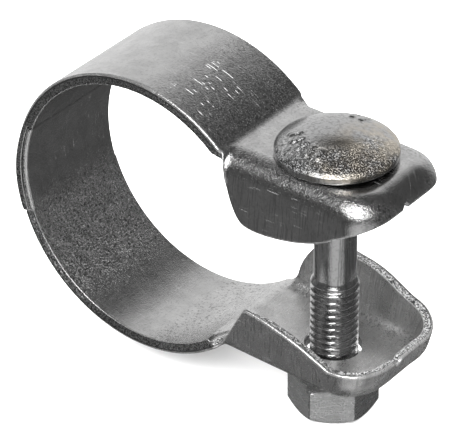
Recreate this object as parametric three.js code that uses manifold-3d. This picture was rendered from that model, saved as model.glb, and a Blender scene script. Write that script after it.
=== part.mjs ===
// Hinged pipe repair clamp for a 45 mm pipe: two pressed-steel half shells hooked together at the
// back and drawn closed at the front by one coach bolt and a hex nut.
// Millimetres. Origin on the pipe axis, +Y along the pipe, +X towards the bolt, +Z towards its head.
import * as THREE from 'three';
import { mergeVertices } from 'three/addons/utils/BufferGeometryUtils.js';
import Module from 'manifold-3d';

const wasm = await Module();
wasm.setup();

// ---- Driving dimensions ----
const SHEET = 2;                  // sheet thickness
const BORE_RADIUS = 23;           // inner radius of the ring while the clamp is open
const BAND_WIDTH = 22;            // ring width along the pipe
const BAND_FOLD = 9;              // half width of the ring that carries on as the flat of the ear
const RING_MID = BORE_RADIUS + SHEET / 2;

const BOLT_X = 31.4;              // bolt axis
const WEB_HEIGHT = 17.6;          // ear mid-plane above the split plane, in the shell's own frame
const VALLEY_RADIUS = 3;          // bend where the ring runs into the ear
const EAR_FOLD = 7.3;             // half width of the flat of the ear
const FOLD_RADIUS = 3;            // mid radius of the fold from ear to flange
const FOLD_START = 3;             // length over which the fold tightens from nothing
const FOLD_LEAD = 1.5;            // the fold line narrows this much sooner than the fold tightens
const FOLD_TURN = THREE.MathUtils.degToRad(86);
const EAR_TIP = 41.2;             // where the flat of the ear ends
const TIP_CORNER = 2.5;           // plan radius of the fold line at the ear's corners
const UPPER_LIP = 4.5;            // developed length of the lip across each ear's tip
const LOWER_LIP = 7;
// Developed length of each flange beyond its fold line, against X. The front is the side towards -Y.
const UPPER_FLANGES = {
  front: [
    [15.5, 2], [16.6, 2.3], [17.7, 4.6], [18.9, 8.2], [20.9, 11.4], [23.5, 12.2], [27.6, 11.9],
    [32.4, 10.8], [36.9, 8.9], [41, 5.8],
  ],
  back: [
    [15.5, 2], [16.6, 2.2], [17.7, 4.2], [18.9, 7.2], [20.9, 9.9], [23.5, 10.6], [27.6, 10.4],
    [32.4, 9.4], [36.9, 7.7], [41, 5.3],
  ],
};
const LOWER_FLANGES = {
  front: [
    [15.5, 2], [16.6, 2.1], [17.7, 3.1], [18.9, 4.6], [20.2, 7.2], [21.6, 10], [22.4, 11.5],
    [22.8, 11.6], [25, 11.3], [27.6, 10.8], [32.4, 9.5], [36.9, 7.7], [41, 5.9],
  ],
  back: [
    [15.5, 2], [16.6, 2.3], [17.7, 4.6], [18.9, 8.2], [20.9, 11.4], [23.5, 12.5], [27.6, 12.1],
    [32.4, 11.4], [36.9, 9.7], [41, 7.6],
  ],
};
// The lower ear came out of the press a little askew.
const LEAN = 0.1;                 // its back flange and its lip lean out by this share of their depth
const LEAN_START = [17, 24];      // the lean grows between these, along X
const BACK_FOLD = [5, 9];         // across the back fold, along Y
const TIP_START = [37, 41.5];     // and towards the tip, along X
const TIP_SKEW = 0.4;             // its back corner stands out this much and its front one is drawn in
const TIP_SIDES = [2.5, 8];

const UPPER_TILT = THREE.MathUtils.degToRad(-1.45);  // rest attitude of each shell on the pipe
const LOWER_TILT = THREE.MathUtils.degToRad(2.4);

// Lapped hook hinge at the back: the upper shell's end lies outside the lower one's, and a tab of
// the lower shell comes out through a slot and is folded back over it. Angles from +X towards +Z.
const UPPER_END = THREE.MathUtils.degToRad(198.5);
const LOWER_STEP = THREE.MathUtils.degToRad(200.5);
const UPPER_STEP = THREE.MathUtils.degToRad(158);
const LOWER_END = THREE.MathUtils.degToRad(159.4);
const STEP_RAMP = THREE.MathUtils.degToRad(0.8);
const INNER_LAP = 0.9;            // thickness of the lower shell's end
const OUTER_LAP = 1.25;           // thickness of the upper shell's end
const OUTER_LAP_ROOT = 0.75;      // and where it starts, level with the ring outside
const OUTER_LAP_EASE = THREE.MathUtils.degToRad(30);
const INNER_LAP_RADIUS = 23.15;   // its inner face
const LAP_GAP = 0.25;
const TAB_HALF = 4.5;             // half width of the tab
const TAB_LIP = THREE.MathUtils.degToRad(6);
const TAB_ROOT = 0.1;             // how far the tab's leg reaches into the sheet and into its lip
const TAB_TURN = INNER_LAP / RING_MID;  // the leg is as thick as the end it grows from
const SLOT_SIDE_GAP = 0.5;
const TAB_GAP = 0.35;

// Bolt M8 and its nut
const HEAD_SEAT = 18.1;           // underside of the head
const HEAD_RADIUS = 9.8;
const HEAD_RIM = 1.3;
const HEAD_HEIGHT = 4.2;
const NECK_SIDE = 8;
const NECK_HEIGHT = 4.2;
const SHANK_RADIUS = 3.4;
const THREAD_TOP = -5;
const THREAD_RADIUS = 3.8;
const BOLT_END = -27;
const END_CHAMFER = 0.8;
const HOLE_RADIUS = 4.6;
const SLOT_LENGTH = 10.6;         // lets the upper ear swing on the neck of the bolt
const SLOT_WIDTH = 8.7;
const NUT_TOP = -22.7;
const NUT_HEIGHT = 6.5;
const NUT_FLATS = 13;
const NUT_ANGLE = THREE.MathUtils.degToRad(34);
const NUT_BORE_RADIUS = 4.15;
const NUT_CHAMFER = THREE.MathUtils.degToRad(30);
const NUT_FACE_SHARE = 0.95;      // diameter of the nut's round end face against its width across flats

// Facets of the curved surfaces
const ROUND_STEPS = 32;           // round a bolt, a hole or a dome
const DOME_STEPS = 6;
const LAP_STEPS = 16;             // along a lapped end
const RING_STEPS = 19;            // from the lap to the valley
const VALLEY_STEPS = 4;
const EAR_STEPS = 20;
const CORNER_STEPS = 5;
const TIP_STEPS = 2;
const SLICE_STEPS = 5;
const FLANGE_STEPS = 120;
const WELD = 1e-4;                // points closer than this are one point

// ---- Materials ----
const steel = (color, roughness) => new THREE.MeshStandardMaterial({ color, roughness, metalness: 1 });
const shellSteel = steel(0x8f8f90, 0.38);
const boltSteel = steel(0xa3a29e, 0.3);
const nutSteel = steel(0x9a9a98, 0.35);

// ---- Solids ----
function toSolid(geometry) {
  const bare = geometry.clone();
  bare.deleteAttribute('normal');
  bare.deleteAttribute('uv');
  const merged = mergeVertices(bare, WELD);
  const mesh = new wasm.Mesh({
    numProp: 3,
    vertProperties: new Float32Array(merged.attributes.position.array),
    triVerts: new Uint32Array(merged.index.array),
  });
  return new wasm.Manifold(mesh);
}

function toGeometry(solid) {
  const mesh = solid.getMesh();
  const geometry = new THREE.BufferGeometry();
  geometry.setAttribute('position', new THREE.BufferAttribute(mesh.vertProperties, 3));
  geometry.setIndex(new THREE.BufferAttribute(mesh.triVerts, 1));
  geometry.computeVertexNormals();
  return geometry;
}

function boxSolid(min, max) {
  const size = max.clone().sub(min);
  const geometry = new THREE.BoxGeometry(size.x, size.y, size.z);
  const middle = min.clone().add(max).multiplyScalar(0.5);
  geometry.translate(middle.x, middle.y, middle.z);
  return toSolid(geometry);
}

function cylinderSolid(radius, bottom, top, x) {
  const geometry = new THREE.CylinderGeometry(radius, radius, top - bottom, ROUND_STEPS);
  geometry.rotateX(Math.PI / 2);
  geometry.translate(x, 0, (top + bottom) / 2);
  return toSolid(geometry);
}

// ---- The pressed shell: ring, valley bend, and a tray-shaped ear ----
// A column is one cross-section of the sheet: where its middle line is, which way the line runs,
// and how the sheet leaves it sideways.
const valleyZ = WEB_HEIGHT + VALLEY_RADIUS;
const valleyX = Math.sqrt((RING_MID + VALLEY_RADIUS) ** 2 - valleyZ ** 2);
const valleyAngle = Math.atan2(valleyZ, valleyX);
const FOLD_BEGIN = RING_MID * Math.cos(valleyAngle);

const flangePoints = (outline) => new THREE.SplineCurve(outline.map(([x, l]) => new THREE.Vector2(x, l)))
  .getPoints(FLANGE_STEPS);
const sampled = (flanges) => ({ front: flangePoints(flanges.front), back: flangePoints(flanges.back) });
const UPPER = { flanges: sampled(UPPER_FLANGES), lip: UPPER_LIP };
const LOWER = { flanges: sampled(LOWER_FLANGES), lip: LOWER_LIP };

function lengthAt(points, x) {
  const next = points.findIndex((p) => p.x >= x);
  if (next < 0) return points.at(-1).y;
  if (next === 0) return points[0].y;
  const [p, q] = [points[next - 1], points[next]];
  return THREE.MathUtils.lerp(p.y, q.y, (x - p.x) / (q.x - p.x));
}

const flangeLengths = ({ flanges }, x) => ({
  front: lengthAt(flanges.front, x),
  back: lengthAt(flanges.back, x),
});

function ringColumn(angle, profile = fullThickness) {
  const { half, lift } = profile(angle);
  return {
    half,
    lift,
    at: new THREE.Vector3(RING_MID * Math.cos(angle), 0, RING_MID * Math.sin(angle)),
    along: new THREE.Vector3(Math.sin(angle), 0, -Math.cos(angle)),
    fold: BAND_FOLD,
    lengths: { front: BAND_WIDTH / 2 - BAND_FOLD, back: BAND_WIDTH / 2 - BAND_FOLD },
    bend: 0,
    turn: 0,
  };
}

const fullThickness = () => ({ half: SHEET / 2, lift: 0 });

// How far the fold from ear to flange has tightened at x, from 0 in the ring to 1.
const foldShare = (x) => THREE.MathUtils.smoothstep(x, FOLD_BEGIN, FOLD_BEGIN + FOLD_START);

function foldAt(column, x, ear) {
  const share = foldShare(x);
  column.fold = THREE.MathUtils.lerp(BAND_FOLD, EAR_FOLD, Math.min(FOLD_LEAD * share, 1));
  column.lengths = flangeLengths(ear, x);
  column.bend = share / FOLD_RADIUS;
  return column;
}

function valleyColumn(share, ear) {
  const column = ringColumn(0);
  const angle = THREE.MathUtils.lerp(valleyAngle, Math.PI / 2, share) + Math.PI;
  column.at.set(valleyX + VALLEY_RADIUS * Math.cos(angle), 0, valleyZ + VALLEY_RADIUS * Math.sin(angle));
  column.along.set(-Math.sin(angle), 0, Math.cos(angle));
  return foldAt(column, column.at.x, ear);
}

function earColumn(x, ear) {
  const column = ringColumn(0);
  column.at.set(x, 0, WEB_HEIGHT);
  column.along.set(1, 0, 0);
  return foldAt(column, x, ear);
}

// Round the corner of the fold line, turn 0 at the side and a quarter circle at the tip.
function cornerColumn(turn, ear) {
  const straightEnd = EAR_TIP - TIP_CORNER;
  const column = earColumn(straightEnd + TIP_CORNER * Math.sin(turn), ear);
  const { front, back } = flangeLengths(ear, straightEnd);
  column.fold = EAR_FOLD - TIP_CORNER + TIP_CORNER * Math.cos(turn);
  column.lengths.front = THREE.MathUtils.lerp(front, ear.lip, Math.sin(turn));
  column.lengths.back = THREE.MathUtils.lerp(back, ear.lip, Math.sin(turn));
  column.turn = turn;
  return column;
}

// Along the straight of the tip, share 0 at the corner and 1 at the middle.
function tipColumn(share, ear) {
  const column = cornerColumn(Math.PI / 2, ear);
  column.fold = (EAR_FOLD - TIP_CORNER) * (1 - share);
  return column;
}

const spread = (count, make) => Array.from({ length: count }, (_, i) => make(i));

function shellColumns(ringAngles, profile, ear) {
  const shares = (count) => spread(count, (i) => (i + 1) / count);
  const straightEnd = EAR_TIP - TIP_CORNER;
  return [
    ...ringAngles.map((angle) => ringColumn(angle, profile)),
    ...shares(VALLEY_STEPS).map((share) => valleyColumn(share, ear)),
    ...shares(EAR_STEPS).map((share) => earColumn(THREE.MathUtils.lerp(valleyX, straightEnd, share), ear)),
    ...shares(CORNER_STEPS).map((share) => cornerColumn((Math.PI / 2) * share, ear)),
    ...shares(TIP_STEPS).map((share) => tipColumn(share, ear)),
  ];
}

// A point of the sheet: reach is the developed distance beyond the fold line, or negative inside it.
function sheetPoint(column, side, flat, reach, offset) {
  const outward = column.along.clone().multiplyScalar(Math.sin(column.turn));
  outward.y = side * Math.cos(column.turn);
  const up = new THREE.Vector3(-column.along.z, 0, column.along.x);
  const angle = Math.min(reach * column.bend, FOLD_TURN);
  const straight = column.bend > 0 ? Math.max(reach - FOLD_TURN / column.bend, 0) : reach;
  const out = (column.bend > 0 ? Math.sin(angle) / column.bend : 0) + straight * Math.cos(angle);
  const drop = (column.bend > 0 ? (1 - Math.cos(angle)) / column.bend : 0) + straight * Math.sin(angle);
  const normal = outward.clone().multiplyScalar(Math.sin(angle)).addScaledVector(up, Math.cos(angle));
  const point = column.at.clone();
  point.y += side * column.fold * flat;
  point.addScaledVector(outward, out).addScaledVector(up, column.lift - drop);
  return point.addScaledVector(normal, offset);
}

// Rows across the sheet, from the front free edge to the back one.
const REACHES = [1, 0.7, 0.42, 0.31, 0.2, 0.1, 0];
const halfRows = REACHES.map((reach) => ({ flat: 1, reach }));
const rows = [
  ...halfRows.map((row) => ({ ...row, side: -1 })),
  { flat: 0, reach: 0, side: 1 },
  ...halfRows.toReversed().map((row) => ({ ...row, side: 1 })),
];

function sheetGeometry(columns) {
  const positions = [];
  const index = [];
  const vertex = (i, j, face) => (i * rows.length + j) * 2 + face;
  for (const column of columns) {
    for (const { side, flat, reach } of rows) {
      const full = side < 0 ? column.lengths.front : column.lengths.back;
      for (const offset of [column.half, -column.half]) {
        positions.push(...sheetPoint(column, side, flat, reach * full, offset));
      }
    }
  }
  const quad = (a, b, c, d) => index.push(a, b, c, a, c, d);
  for (let i = 0; i + 1 < columns.length; i += 1) {
    for (let j = 0; j + 1 < rows.length; j += 1) {
      quad(vertex(i, j, 0), vertex(i + 1, j, 0), vertex(i + 1, j + 1, 0), vertex(i, j + 1, 0));
      quad(vertex(i, j, 1), vertex(i, j + 1, 1), vertex(i + 1, j + 1, 1), vertex(i + 1, j, 1));
    }
    const last = rows.length - 1;
    quad(vertex(i, 0, 0), vertex(i, 0, 1), vertex(i + 1, 0, 1), vertex(i + 1, 0, 0));
    quad(vertex(i, last, 0), vertex(i + 1, last, 0), vertex(i + 1, last, 1), vertex(i, last, 1));
  }
  for (let j = 0; j + 1 < rows.length; j += 1) {
    quad(vertex(0, j, 0), vertex(0, j + 1, 0), vertex(0, j + 1, 1), vertex(0, j, 1));
  }
  const geometry = new THREE.BufferGeometry();
  geometry.setAttribute('position', new THREE.Float32BufferAttribute(positions, 3));
  geometry.setIndex(index);
  return withoutSlivers(geometry);
}

// The two sides of the ear meet at the middle of the tip, so points are joined and empty faces dropped.
function withoutSlivers(geometry) {
  const merged = mergeVertices(geometry, WELD);
  const kept = [];
  const source = merged.index.array;
  for (let i = 0; i < source.length; i += 3) {
    const [a, b, c] = [source[i], source[i + 1], source[i + 2]];
    if (a !== b && b !== c && c !== a) kept.push(a, b, c);
  }
  merged.setIndex(kept);
  return merged;
}

// Angles from the hinge to the valley, with two close together where the sheet steps.
function ringAngles(end, step) {
  const lap = (i) => THREE.MathUtils.lerp(end, step + STEP_RAMP, i / (LAP_STEPS - 1));
  const inLap = spread(LAP_STEPS, lap);
  const plain = spread(RING_STEPS, (i) => THREE.MathUtils.lerp(step, valleyAngle, i / RING_STEPS));
  return [...inLap, ...plain, valleyAngle];
}

const OUTER_LAP_RADIUS = INNER_LAP_RADIUS + INNER_LAP + LAP_GAP;

function lapProfile(innerRadius, thicknessAt, step) {
  return (angle) => {
    if (angle <= step + STEP_RAMP / 2) return fullThickness();
    const thickness = thicknessAt(angle - step);
    return { half: thickness / 2, lift: innerRadius + thickness / 2 - RING_MID };
  };
}

const outerLapAt = (beyond) => THREE.MathUtils.lerp(
  OUTER_LAP_ROOT,
  OUTER_LAP,
  THREE.MathUtils.smoothstep(beyond, 0, OUTER_LAP_EASE),
);

// A slice of ring between two angles and two radii, as wide as 2 * half along the pipe.
function ringSlice(from, to, inner, outer, half) {
  const shape = new THREE.Shape();
  shape.absarc(0, 0, outer, from, to, false);
  shape.absarc(0, 0, inner, to, from, true);
  const geometry = new THREE.ExtrudeGeometry(shape, {
    depth: 2 * half, bevelEnabled: false, curveSegments: SLICE_STEPS,
  });
  geometry.rotateX(Math.PI / 2);
  geometry.translate(0, half, 0);
  return toSolid(geometry);
}

// ---- Upper shell, with the slot of the hinge ----
function upperShell() {
  const step = UPPER_STEP - UPPER_TILT;
  const angles = ringAngles(UPPER_END - UPPER_TILT, step);
  const profile = lapProfile(OUTER_LAP_RADIUS, outerLapAt, step);
  const geometry = sheetGeometry(shellColumns(angles, profile, UPPER));
  geometry.rotateY(-UPPER_TILT);
  const hookSlot = ringSlice(
    UPPER_STEP + STEP_RAMP / 2,
    LOWER_END + TAB_TURN + TAB_GAP / RING_MID,
    RING_MID - SHEET,
    RING_MID + 2 * SHEET,
    TAB_HALF + SLOT_SIDE_GAP,
  );
  const neckSlot = boxSolid(
    new THREE.Vector3(BOLT_X - SLOT_LENGTH / 2, -SLOT_WIDTH / 2, 0),
    new THREE.Vector3(BOLT_X + SLOT_LENGTH / 2, SLOT_WIDTH / 2, 2 * HEAD_SEAT),
  );
  return toGeometry(toSolid(geometry).subtract(hookSlot).subtract(neckSlot));
}

// ---- Lower shell, with the tab ----
function tabSolid() {
  const lipInner = OUTER_LAP_RADIUS + OUTER_LAP + TAB_GAP;
  const legInner = INNER_LAP_RADIUS + TAB_ROOT;
  const leg = ringSlice(LOWER_END, LOWER_END + TAB_TURN, legInner, lipInner + TAB_ROOT, TAB_HALF);
  const lip = ringSlice(LOWER_END, LOWER_END + TAB_LIP, lipInner, lipInner + INNER_LAP, TAB_HALF);
  return leg.add(lip);
}

// How far a value has gone through a range, eased at both ends.
const eased = (value, [from, to]) => THREE.MathUtils.smoothstep(value, from, to);

function setAskew(geometry) {
  const position = geometry.attributes.position;
  for (let i = 0; i < position.count; i += 1) {
    const [x, y, z] = [position.getX(i), position.getY(i), position.getZ(i)];
    const depth = Math.max(WEB_HEIGHT - SHEET / 2 - z, 0) * eased(x, LEAN_START);
    const skew = TIP_SKEW * (eased(y, TIP_SIDES) - eased(-y, TIP_SIDES));
    position.setX(i, x + eased(x, TIP_START) * (LEAN * depth + skew));
    position.setY(i, y + LEAN * depth * eased(y, BACK_FOLD));
  }
}

function lowerShell() {
  const own = (world) => world - LOWER_TILT;
  const step = own(2 * Math.PI - LOWER_STEP);
  const angles = ringAngles(own(2 * Math.PI - LOWER_END), step);
  const profile = lapProfile(INNER_LAP_RADIUS, () => INNER_LAP, step);
  const geometry = sheetGeometry(shellColumns(angles, profile, LOWER));
  setAskew(geometry);
  geometry.scale(1, 1, -1);
  const flipped = geometry.index.array;
  for (let i = 0; i < flipped.length; i += 3) {
    [flipped[i], flipped[i + 1]] = [flipped[i + 1], flipped[i]];
  }
  geometry.rotateY(LOWER_TILT);
  const hole = cylinderSolid(HOLE_RADIUS, -2 * RING_MID, 0, BOLT_X);
  return toGeometry(toSolid(geometry).add(tabSolid()).subtract(hole));
}

// ---- Bolt and nut ----
function coachBolt() {
  const domeRadius = (HEAD_RADIUS ** 2 + (HEAD_HEIGHT - HEAD_RIM) ** 2) / (2 * (HEAD_HEIGHT - HEAD_RIM));
  const domeCentre = HEAD_HEIGHT - domeRadius;
  const domeSpan = Math.asin(HEAD_RADIUS / domeRadius);
  const tip = BOLT_END - HEAD_SEAT;
  const thread = THREAD_TOP - HEAD_SEAT;
  const profile = [
    [0, tip],
    [THREAD_RADIUS - END_CHAMFER, tip],
    [THREAD_RADIUS, tip + END_CHAMFER],
    [THREAD_RADIUS, thread - END_CHAMFER],
    [SHANK_RADIUS, thread],
    [SHANK_RADIUS, 0],
    [HEAD_RADIUS, 0],
    ...spread(DOME_STEPS + 1, (i) => {
      const angle = domeSpan * (1 - i / DOME_STEPS);
      return [domeRadius * Math.sin(angle), domeCentre + domeRadius * Math.cos(angle)];
    }),
  ].map(([r, z]) => new THREE.Vector2(Math.max(r, 0), z));
  profile[profile.length - 1].x = 0;
  const turned = new THREE.LatheGeometry(profile, ROUND_STEPS);
  turned.rotateX(Math.PI / 2);
  const neck = boxSolid(
    new THREE.Vector3(-NECK_SIDE / 2, -NECK_SIDE / 2, -NECK_HEIGHT),
    new THREE.Vector3(NECK_SIDE / 2, NECK_SIDE / 2, HEAD_RIM / 2),
  );
  return toGeometry(toSolid(turned).add(neck));
}

function hexNut() {
  const corner = NUT_FLATS / Math.sqrt(3);
  const hexagon = new THREE.Shape(spread(6, (i) => {
    const angle = (i * Math.PI) / 3;
    return new THREE.Vector2(corner * Math.cos(angle), corner * Math.sin(angle));
  }));
  const bore = new THREE.Path();
  bore.absarc(0, 0, NUT_BORE_RADIUS, 0, 2 * Math.PI, true);
  hexagon.holes.push(bore);
  const prism = new THREE.ExtrudeGeometry(hexagon, {
    depth: NUT_HEIGHT, bevelEnabled: false, curveSegments: ROUND_STEPS / 2,
  });
  prism.translate(0, 0, -NUT_HEIGHT);
  const flat = (NUT_FACE_SHARE * NUT_FLATS) / 2;
  const reach = 2 * corner;
  const slope = (reach - flat) * Math.tan(NUT_CHAMFER);
  const barrel = new THREE.LatheGeometry([
    new THREE.Vector2(0, -NUT_HEIGHT),
    new THREE.Vector2(flat, -NUT_HEIGHT),
    new THREE.Vector2(reach, -NUT_HEIGHT + slope),
    new THREE.Vector2(reach, -slope),
    new THREE.Vector2(flat, 0),
    new THREE.Vector2(0, 0),
  ], ROUND_STEPS);
  barrel.rotateX(Math.PI / 2);
  return toGeometry(toSolid(prism).intersect(toSolid(barrel)));
}

// ---- Assembly ----
const clamp = new THREE.Group();

function place(name, geometry, material, x, z) {
  const mesh = new THREE.Mesh(geometry, material);
  mesh.name = name;
  mesh.position.set(x, 0, z);
  clamp.add(mesh);
}

place('upper_shell', upperShell(), shellSteel, 0, 0);
place('lower_shell', lowerShell(), shellSteel, 0, 0);
place('coach_bolt', coachBolt(), boltSteel, BOLT_X, HEAD_SEAT);
place('hex_nut', hexNut(), nutSteel, BOLT_X, NUT_TOP);
clamp.getObjectByName('hex_nut').rotation.z = NUT_ANGLE;

export default clamp;
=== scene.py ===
"""Looks of the hinged pipe clamp. Millimetres inside the shape functions, metres in every mesh.
The frame's origin is on the pipe axis, +Y runs along the pipe, +X towards the bolt, +Z towards its head."""
import math
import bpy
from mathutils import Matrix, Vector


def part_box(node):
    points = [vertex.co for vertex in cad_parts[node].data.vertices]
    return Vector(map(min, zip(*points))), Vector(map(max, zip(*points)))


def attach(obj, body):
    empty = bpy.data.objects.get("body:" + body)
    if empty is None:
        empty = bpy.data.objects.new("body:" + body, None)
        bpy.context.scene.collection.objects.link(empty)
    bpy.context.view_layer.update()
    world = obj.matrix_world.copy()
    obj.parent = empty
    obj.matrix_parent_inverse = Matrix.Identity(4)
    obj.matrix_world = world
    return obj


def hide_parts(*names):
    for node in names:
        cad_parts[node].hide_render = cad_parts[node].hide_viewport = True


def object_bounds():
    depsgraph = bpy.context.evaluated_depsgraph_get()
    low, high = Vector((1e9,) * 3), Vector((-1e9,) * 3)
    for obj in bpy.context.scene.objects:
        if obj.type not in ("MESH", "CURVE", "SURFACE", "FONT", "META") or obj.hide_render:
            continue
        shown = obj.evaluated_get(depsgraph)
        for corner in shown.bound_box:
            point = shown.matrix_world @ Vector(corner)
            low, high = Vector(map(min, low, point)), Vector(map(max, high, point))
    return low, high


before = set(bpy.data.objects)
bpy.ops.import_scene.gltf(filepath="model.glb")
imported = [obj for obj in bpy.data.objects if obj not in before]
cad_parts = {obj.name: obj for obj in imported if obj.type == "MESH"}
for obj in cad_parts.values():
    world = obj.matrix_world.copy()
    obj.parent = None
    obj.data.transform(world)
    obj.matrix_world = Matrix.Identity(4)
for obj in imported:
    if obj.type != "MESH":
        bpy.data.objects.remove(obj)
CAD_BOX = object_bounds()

from types import SimpleNamespace

import bmesh
import bpy
import numpy as np
from mathutils import Matrix, Vector

MM = 0.001

# ---- Shells ----
SHEET = 2.0
RING_MID = 24.0
BAND_HALF = 11.0
BAND_FOLD = 9.0
WEB_HEIGHT = 17.6
VALLEY_RADIUS = 3.0
EAR_FOLD = 7.3
FOLD_RADIUS = 3.0
FOLD_START = 3.0
FOLD_LEAD = 1.5
FOLD_TURN = math.radians(86)
EAR_TIP = 41.2
TIP_CORNER = 2.5
UPPER_LIP = 4.5
LOWER_LIP = 7.0
# Developed length of each flange beyond its fold line, against X, by side: -1 is the front, 1 the back.
UPPER_FLANGES = {
    -1: [(15.5, 2.0), (16.6, 2.3), (17.7, 4.6), (18.9, 8.2), (20.9, 11.4), (23.5, 12.2), (27.6, 11.9),
         (32.4, 10.8), (36.9, 8.9), (41.0, 5.8)],
    1: [(15.5, 2.0), (16.6, 2.2), (17.7, 4.2), (18.9, 7.2), (20.9, 9.9), (23.5, 10.6), (27.6, 10.4),
        (32.4, 9.4), (36.9, 7.7), (41.0, 5.3)],
}
LOWER_FLANGES = {
    -1: [(15.5, 2.0), (16.6, 2.1), (17.7, 3.1), (18.9, 4.6), (20.2, 7.2), (21.6, 10.0), (22.4, 11.5),
         (22.8, 11.6), (25.0, 11.3), (27.6, 10.8), (32.4, 9.5), (36.9, 7.7), (41.0, 5.9)],
    1: [(15.5, 2.0), (16.6, 2.3), (17.7, 4.6), (18.9, 8.2), (20.9, 11.4), (23.5, 12.5), (27.6, 12.1),
        (32.4, 11.4), (36.9, 9.7), (41.0, 7.6)],
}
BACK_LEAN = 0.1          # the lower ear's back flange leans out by this share of its depth
LIP_LEAN = 0.1           # and so does its lip
TIP_SKEW_BACK = 0.4      # the lower ear's tip stands out this much at its back corner
TIP_SKEW_FRONT = 0.4     # and is drawn in this much at its front corner
UPPER_TILT = math.radians(-1.45)
LOWER_TILT = math.radians(2.4)

# ---- Hinge ----
UPPER_END = math.radians(198.5)
LOWER_STEP = math.radians(199.1)
UPPER_STEP = math.radians(158)
LOWER_END = math.radians(159.4)
STEP_RAMP = math.radians(0.8)
INNER_LAP_INSIDE = (23.0, 23.0)     # radii of the laps' faces just past the step and further on
INNER_LAP_OUTSIDE = (23.86, 24.05)
OUTER_LAP_INSIDE = (23.97, 24.25)
OUTER_LAP_OUTSIDE = (25.0, 25.55)
LAP_EASE = math.radians(30)
INNER_LAP = 0.9
TAB_HALF = 4.5
TAB_LIP = math.radians(6)
TAB_GAP = 0.35
TAB_BEND = 0.75          # mid radius of the bend between the tab's leg and its lip
TAB_CORNER = 0.22        # rounding of the tab's long edges
TAB_NARROW = 0.25        # the tab's end is this much narrower on each side
SLOT_HALF = 5.0

# ---- Sheared edges ----
ROLLOVER = 0.42          # rounded by the die on the outer face
BURR = 0.12              # small corner on the inner face
LAP_BURR = 0.42          # rounder where the lower shell's end was thinned
FRACTURE_LEAN = 0.14     # the broken part of the edge stands back this much
BURNISHED = 0.36         # share of the thickness that is cut smooth
THIN_REACH = 3.0         # how far in from a free edge the drawn sheet thins

# ---- Holes in the ears, at heights where each tilted ear stands beside the bolt ----
NECK_SLOT = (5.3, 4.35, 0.8)                             # half length, half width, corner radius
NECK_SLOT_FACES = (WEB_HEIGHT - 1.75, WEB_HEIGHT + 0.25)
NECK_SLOT_BREAK = 0.25                                   # how much its edges are broken
BOLT_HOLE_RADIUS = 4.6
BOLT_HOLE_FACES = (-WEB_HEIGHT - 2.2, -WEB_HEIGHT - 0.2)
BOLT_HOLE_BREAK = 0.2

# ---- Fineness of the sheet ----
FLAT_ROWS = 18
REACH_ROWS = 20
LAP_COLUMNS = 30
RING_COLUMNS = 64
VALLEY_COLUMNS = 12
EAR_COLUMNS = 48
CORNER_COLUMNS = 10
STEP_COLUMNS = 12
STEP_REACH = math.radians(2.4)      # the ring is finely divided this far from a lap's step

# ---- Bolt and nut ----
bolt_low, bolt_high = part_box("coach_bolt")
nut_low, nut_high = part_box("hex_nut")
BOLT_X = (bolt_low[0] + bolt_high[0]) / 2 / MM
BOLT_END = bolt_low[2] / MM
HEAD_TOP = bolt_high[2] / MM
HEAD_RADIUS = (bolt_high[1] - bolt_low[1]) / 2 / MM
HEAD_HEIGHT = 4.2
HEAD_RIM = 1.3
HEAD_SEAT = HEAD_TOP - HEAD_HEIGHT
NECK_HALF = 4.0
NECK_HEIGHT = 4.2
SHANK_RADIUS = 3.42
HEAD_MARKS = (212, 229, 246, 263, 280, 84, 101)    # degrees round the head
MARK_HEIGHT = 0.28
THREAD_TOP = -5.0
THREAD_RADIUS = 3.95
THREAD_PITCH = 1.25
THREAD_DEPTH = 0.8
END_CHAMFER = 0.8
NUT_TOP = nut_high[2] / MM
NUT_BOTTOM = nut_low[2] / MM
NUT_FLATS = 13.0
NUT_ANGLE = math.radians(34)
NUT_CHAMFER = math.radians(30)
NUT_FACE_SHARE = 0.95    # diameter of the nut's round end face against its width across flats
NUT_PLAY = 0.14          # between the nut's thread and the bolt's


# ---- Small maths ----
def lerp(low, high, share):
    return low + (high - low) * share


def smooth(x, low, high):
    share = np.clip((x - low) / (high - low), 0.0, 1.0)
    return share * share * (3 - 2 * share)


def spline(points, steps=40):
    """A Catmull-Rom curve through the points, as two arrays."""
    pts = [points[0]] + list(points) + [points[-1]]
    out = []
    for p0, p1, p2, p3 in zip(pts, pts[1:], pts[2:], pts[3:]):
        p0, p1, p2, p3 = (np.array(p) for p in (p0, p1, p2, p3))
        for t in np.linspace(0, 1, steps, endpoint=False):
            v0 = (p2 - p0) / 2
            v1 = (p3 - p1) / 2
            cubic = 2 * p1 - 2 * p2 + v0 + v1
            square = 3 * p2 - 3 * p1 - 2 * v0 - v1
            out.append(cubic * t**3 + square * t**2 + v0 * t + p1)
    out.append(np.array(points[-1]))
    return np.array(out).T


VALLEY_Z = WEB_HEIGHT + VALLEY_RADIUS
VALLEY_X = math.sqrt((RING_MID + VALLEY_RADIUS) ** 2 - VALLEY_Z**2)
VALLEY_ANGLE = math.atan2(VALLEY_Z, VALLEY_X)
FOLD_BEGIN = RING_MID * math.cos(VALLEY_ANGLE)


# ---- Sheet cross-sections ----
class Column:
    """One cross-section of the sheet: where its middle line is, which way it runs, how it folds sideways."""

    def __init__(self, at, along, run):
        self.at = np.array(at, float)
        self.along = np.array(along, float)
        self.run = run
        self.fold = BAND_FOLD
        self.lengths = {-1: BAND_HALF - BAND_FOLD, 1: BAND_HALF - BAND_FOLD}
        self.bend = 0.0
        self.turn = 0.0
        self.inner = -SHEET / 2
        self.outer = SHEET / 2
        self.burr = BURR
        self.tip = False


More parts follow.
